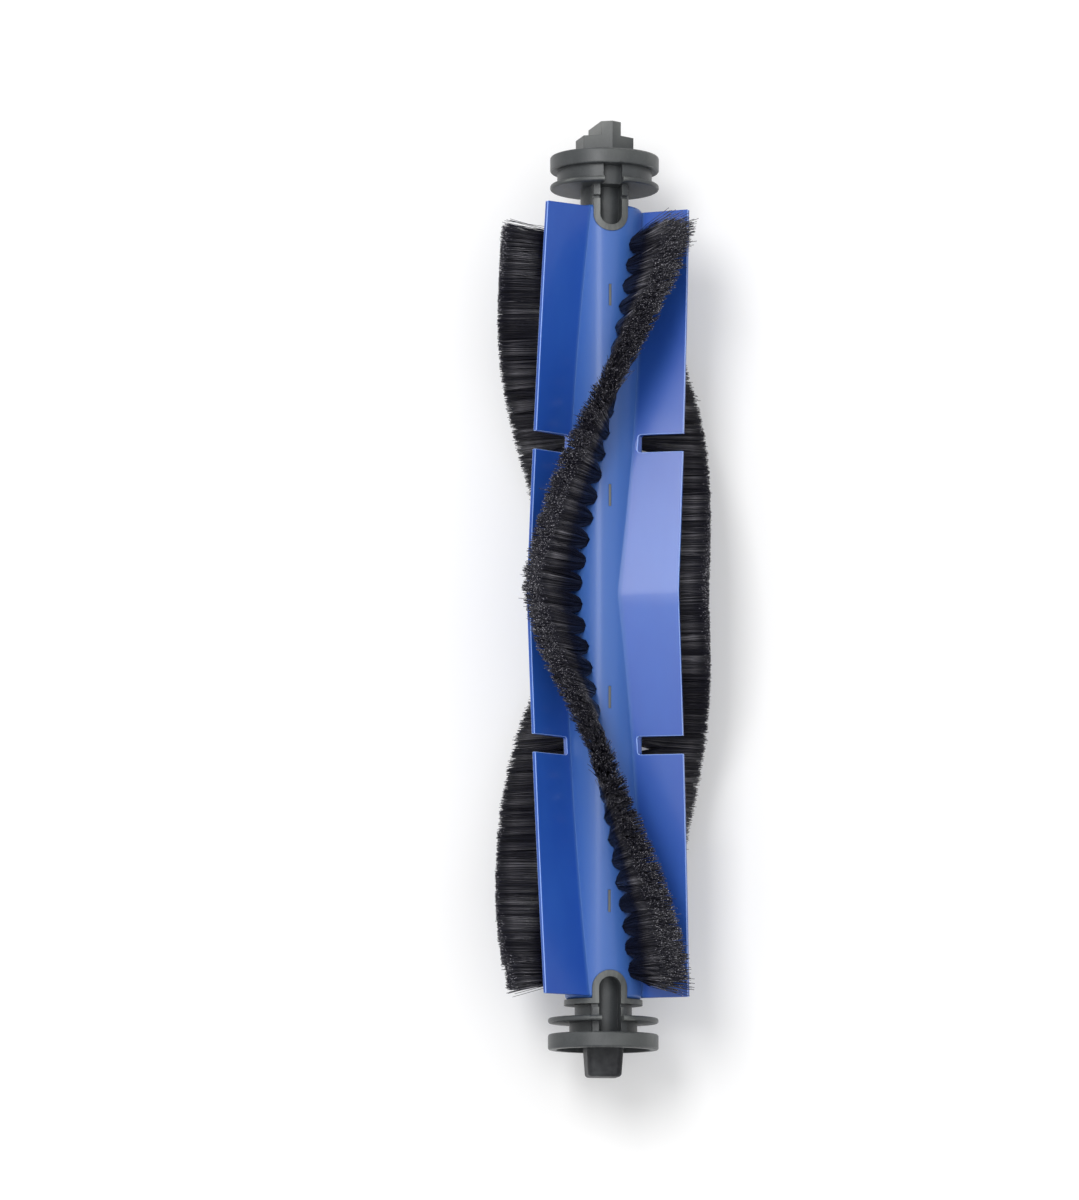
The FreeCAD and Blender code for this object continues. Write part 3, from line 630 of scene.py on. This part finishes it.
def tube_mesh(name, lines, radius, tones):
    """One mesh of three-sided tubes along the lines, closed at the tips, with their height and tone."""
    count, rings = lines.shape[:2]
    direction = np.gradient(lines, axis=1)
    direction /= np.linalg.norm(direction, axis=2, keepdims=True)
    level = np.cross(direction, (0.0, 1.0, 0.0))
    level /= np.linalg.norm(level, axis=2, keepdims=True)
    upright = np.cross(direction, level)
    turn = 2 * math.pi * (np.arange(TUBE_SIDES)[None, :] / TUBE_SIDES + tones[:, None])
    around = (
        level[:, :, None] * np.cos(turn)[:, None, :, None]
        + upright[:, :, None] * np.sin(turn)[:, None, :, None]
    )
    points = lines[:, :, None] + around * radius
    index = np.arange(count * rings * TUBE_SIDES).reshape(count, rings, TUBE_SIDES)
    below, above = index[:, :-1], index[:, 1:]
    quads = np.stack((below, np.roll(below, -1, 2), np.roll(above, -1, 2), above), axis=-1)
    faces = quads.reshape(-1, 4).tolist() + index[:, -1].tolist()
    mesh = bpy.data.meshes.new(name)
    mesh.from_pydata(points.reshape(-1, 3), [], faces)
    mesh.shade_smooth()
    heights = np.tile(np.repeat(STEPS, TUBE_SIDES), count)
    shades = np.repeat(tones, rings * TUBE_SIDES)
    for attribute, values in (("along", heights), ("tone", shades)):
        mesh.attributes.new(attribute, "FLOAT", "POINT").data.foreach_set("value", values)
    return mesh


def grow_row(node, bristles, draw):
    """Grows the filaments of one bristle row on the tufts of its CAD node, one piece for each arm."""
    tufts = [Tuft(corners, bristles) for corners in solids_of(node)]
    join_lanes(tufts)
    fans = np.zeros(len(tufts))
    fans[:len(END_FANS)] = -np.array(END_FANS)
    fans[-len(END_FANS):] = END_FANS[::-1]
    splays = 1 + bristles.end_splay * np.linspace(-1, 1, len(tufts)) ** SPLAY_POWER
    middle = len(tufts) // 2
    pieces = []
    for arm, chosen in (("bearing", slice(0, middle)), ("drive", slice(middle, None))):
        grown = [
            filament_lines(tuft, fan, splay, bristles, draw)
            for tuft, fan, splay in zip(tufts[chosen], fans[chosen], splays[chosen])
        ]
        lines, tones = (np.concatenate(part) for part in zip(*grown))
        mesh = tube_mesh(f"{node}_{arm}_arm", lines, bristles.gauge / 2, tones)
        piece = bpy.data.objects.new(mesh.name, mesh)
        bpy.context.scene.collection.objects.link(piece)
        pieces.append(piece)
    return pieces


# Stage

def lay_floor(stage):
    """A matt white sheet, a share of which is seen as plain white so that its shadows stay light."""
    half = stage.floor_size / 2
    corners = [(-half, -half, 0), (half, -half, 0), (half, half, 0), (-half, half, 0)]
    mesh = bpy.data.meshes.new("floor")
    mesh.from_pydata(corners, [], [(0, 1, 2, 3)])
    floor = bpy.data.objects.new("floor", mesh)
    bpy.context.scene.collection.objects.link(floor)
    finish = Finish("floor_sheet")
    look = {"Base Color": stage.floor_colour, "Roughness": 0.9, "Specular IOR Level": 0.0}
    sheet = finish.node("ShaderNodeBsdfPrincipled", None, look)
    white = finish.node("ShaderNodeEmission", None, {"Color": stage.floor_colour, "Strength": 1})
    share = finish.seen() * stage.floor_white
    both = finish.node("ShaderNodeMixShader", None, {0: share, 1: sheet, 2: white})
    finish.node("ShaderNodeOutputMaterial", None, {"Surface": both})
    mesh.materials.append(finish.material)


def light_room(scene, stage):
    """Even light from all round; the camera and mirror-like surfaces see it as plain white."""
    world = bpy.data.worlds.new("studio")
    room = NodeSheet(world)
    white = (1, 1, 1)
    light = room.node("ShaderNodeBackground", None, {"Color": white, "Strength": stage.world_light})
    plain = room.node("ShaderNodeBackground", None, {"Color": white, "Strength": 1})
    both = room.node("ShaderNodeMixShader", None, {0: room.seen(), 1: light, 2: plain})
    room.node("ShaderNodeOutputWorld", None, {"Surface": both})
    scene.world = world


def hang_lamp(name, power, sides, place):
    """A soft rectangular lamp that faces the roller, with two of its sides along the axle."""
    lamp = bpy.data.lights.new(name, "AREA")
    lamp.energy = power
    lamp.shape = "RECTANGLE"
    lamp.size, lamp.size_y = sides
    holder = bpy.data.objects.new(name, lamp)
    back = place.normalized()
    right = Vector((0, 1, 0)).cross(back).normalized()
    facing = Matrix((right, back.cross(right), back)).transposed()
    holder.matrix_world = Matrix.Translation(place) @ facing.to_4x4()
    bpy.context.scene.collection.objects.link(holder)


def set_camera(stage):
    """The camera, which looks down at the roller from its bearing end."""
    lens = bpy.data.cameras.new("camera")
    lens.lens = stage.focal
    camera = bpy.data.objects.new("camera", lens)
    bpy.context.scene.collection.objects.link(camera)
    target = Vector((-stage.camera_aside, stage.camera_along, AXLE_HEIGHT))
    back = Vector((0, -math.cos(stage.camera_elevation), math.sin(stage.camera_elevation)))
    facing = (-back).to_track_quat("-Z", "Y").to_matrix() @ Matrix.Rotation(stage.camera_roll, 3, "Z")
    camera.matrix_world = Matrix.Translation(target + back * stage.camera_distance) @ facing.to_4x4()
    return camera


# Operators

class ROLLERBRUSH_OT_dress_core(bpy.types.Operator):
    """Finishes the core with its ends, and the staples in it"""

    bl_idname = "roller_brush.dress_core"
    bl_label = "Dress the core"

    def execute(self, context):
        colours = context.scene.roller_brush.finishes
        give_finish("roller_core", core_plastic(colours))
        wire = turned_metal("staple_wire", colours.steel, roughness=0.3, stretch=(1, 0.1, 1))
        give_finish("tuft_staples", wire)
        return {"FINISHED"}


class ROLLERBRUSH_OT_dress_sleeve(bpy.types.Operator):
    """Makes the soft sleeve and its blades from their moulded shape"""

    bl_idname = "roller_brush.dress_sleeve"
    bl_label = "Soften the blades"

    def execute(self, context):
        finishes = context.scene.roller_brush.finishes
        piece = soften_sleeve(finishes)
        piece.data.materials.append(blade_rubber(finishes))
        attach(piece, "roller")
        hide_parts("blade_sleeve")
        return {"FINISHED"}


class ROLLERBRUSH_OT_dress_bearing(bpy.types.Operator):
    """Finishes the bearing pin, its bush and its block"""

    bl_idname = "roller_brush.dress_bearing"
    bl_label = "Dress the bearing"

    def execute(self, context):
        colours = context.scene.roller_brush.finishes
        steel = turned_metal("pin_steel", colours.steel, roughness=0.2, stretch=(1, 8, 1))
        bronze = turned_metal("bush_bronze", colours.bronze, roughness=0.4, stretch=(1, 1, 1))
        give_finish("bearing_pin", steel)
        give_finish("bearing_bush", bronze)
        give_finish("bearing_block", block_plastic(colours))
        return {"FINISHED"}


class ROLLERBRUSH_OT_grow_bristles(bpy.types.Operator):
    """Grows the filaments of the bristle rows in place of their solids"""

    bl_idname = "roller_brush.grow_bristles"
    bl_label = "Grow the bristles"

    def execute(self, context):
        bristles = context.scene.roller_brush.bristles
        draw = np.random.default_rng(bristles.seed)
        fibre = bristle_fibre(bristles)
        for node in BRISTLE_ROWS:
            for piece in grow_row(node, bristles, draw):
                piece.data.materials.append(fibre)
                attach(piece, "roller")
                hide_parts(node)
        return {"FINISHED"}


class ROLLERBRUSH_OT_set_stage(bpy.types.Operator):
    """Lays the floor, hangs the lamps and sets up the camera"""

    bl_idname = "roller_brush.set_stage"
    bl_label = "Set the stage"

    def execute(self, context):
        stage = context.scene.roller_brush.stage
        context.scene.view_settings.view_transform = "Standard"
        lay_floor(stage)
        light_room(context.scene, stage)
        key_sides = (stage.key_width, stage.key_length)
        ceiling_sides = (stage.ceiling_size, stage.ceiling_size)
        hang_lamp("key_lamp", stage.key_power, key_sides, KEY_PLACE)
        hang_lamp("ceiling_lamp", stage.ceiling_power, ceiling_sides, CEILING_PLACE)
        context.scene.camera = set_camera(stage)
        return {"FINISHED"}


# Panel

OPERATORS = (
    ROLLERBRUSH_OT_dress_core,
    ROLLERBRUSH_OT_dress_sleeve,
    ROLLERBRUSH_OT_dress_bearing,
    ROLLERBRUSH_OT_grow_bristles,
    ROLLERBRUSH_OT_set_stage,
)


class ROLLERBRUSH_PT_build(bpy.types.Panel):
    """The steps and settings of the roller brush."""

    bl_label = "Roller Brush"
    bl_space_type = "VIEW_3D"
    bl_region_type = "UI"
    bl_category = "Roller Brush"

    def draw(self, context):
        settings = context.scene.roller_brush
        for operator in OPERATORS:
            self.layout.operator(operator.bl_idname)
        for group in (settings.bristles, settings.finishes, settings.stage):
            box = self.layout.box()
            for name in group.__annotations__:
                box.prop(group, name)


CLASSES = (
    BristleSettings,
    FinishSettings,
    StageSettings,
    RollerBrushSettings,
    *OPERATORS,
    ROLLERBRUSH_PT_build,
)


def register():
    for cls in CLASSES:
        bpy.utils.register_class(cls)
    bpy.types.Scene.roller_brush = PointerProperty(type=RollerBrushSettings)


def unregister():
    del bpy.types.Scene.roller_brush
    for cls in reversed(CLASSES):
        bpy.utils.unregister_class(cls)


def main():
    """Builds the roller brush and its stage."""
    register()
    bpy.ops.roller_brush.dress_core()
    bpy.ops.roller_brush.dress_sleeve()
    bpy.ops.roller_brush.dress_bearing()
    bpy.ops.roller_brush.grow_bristles()
    bpy.ops.roller_brush.set_stage()


if __name__ == "__main__":
    main()
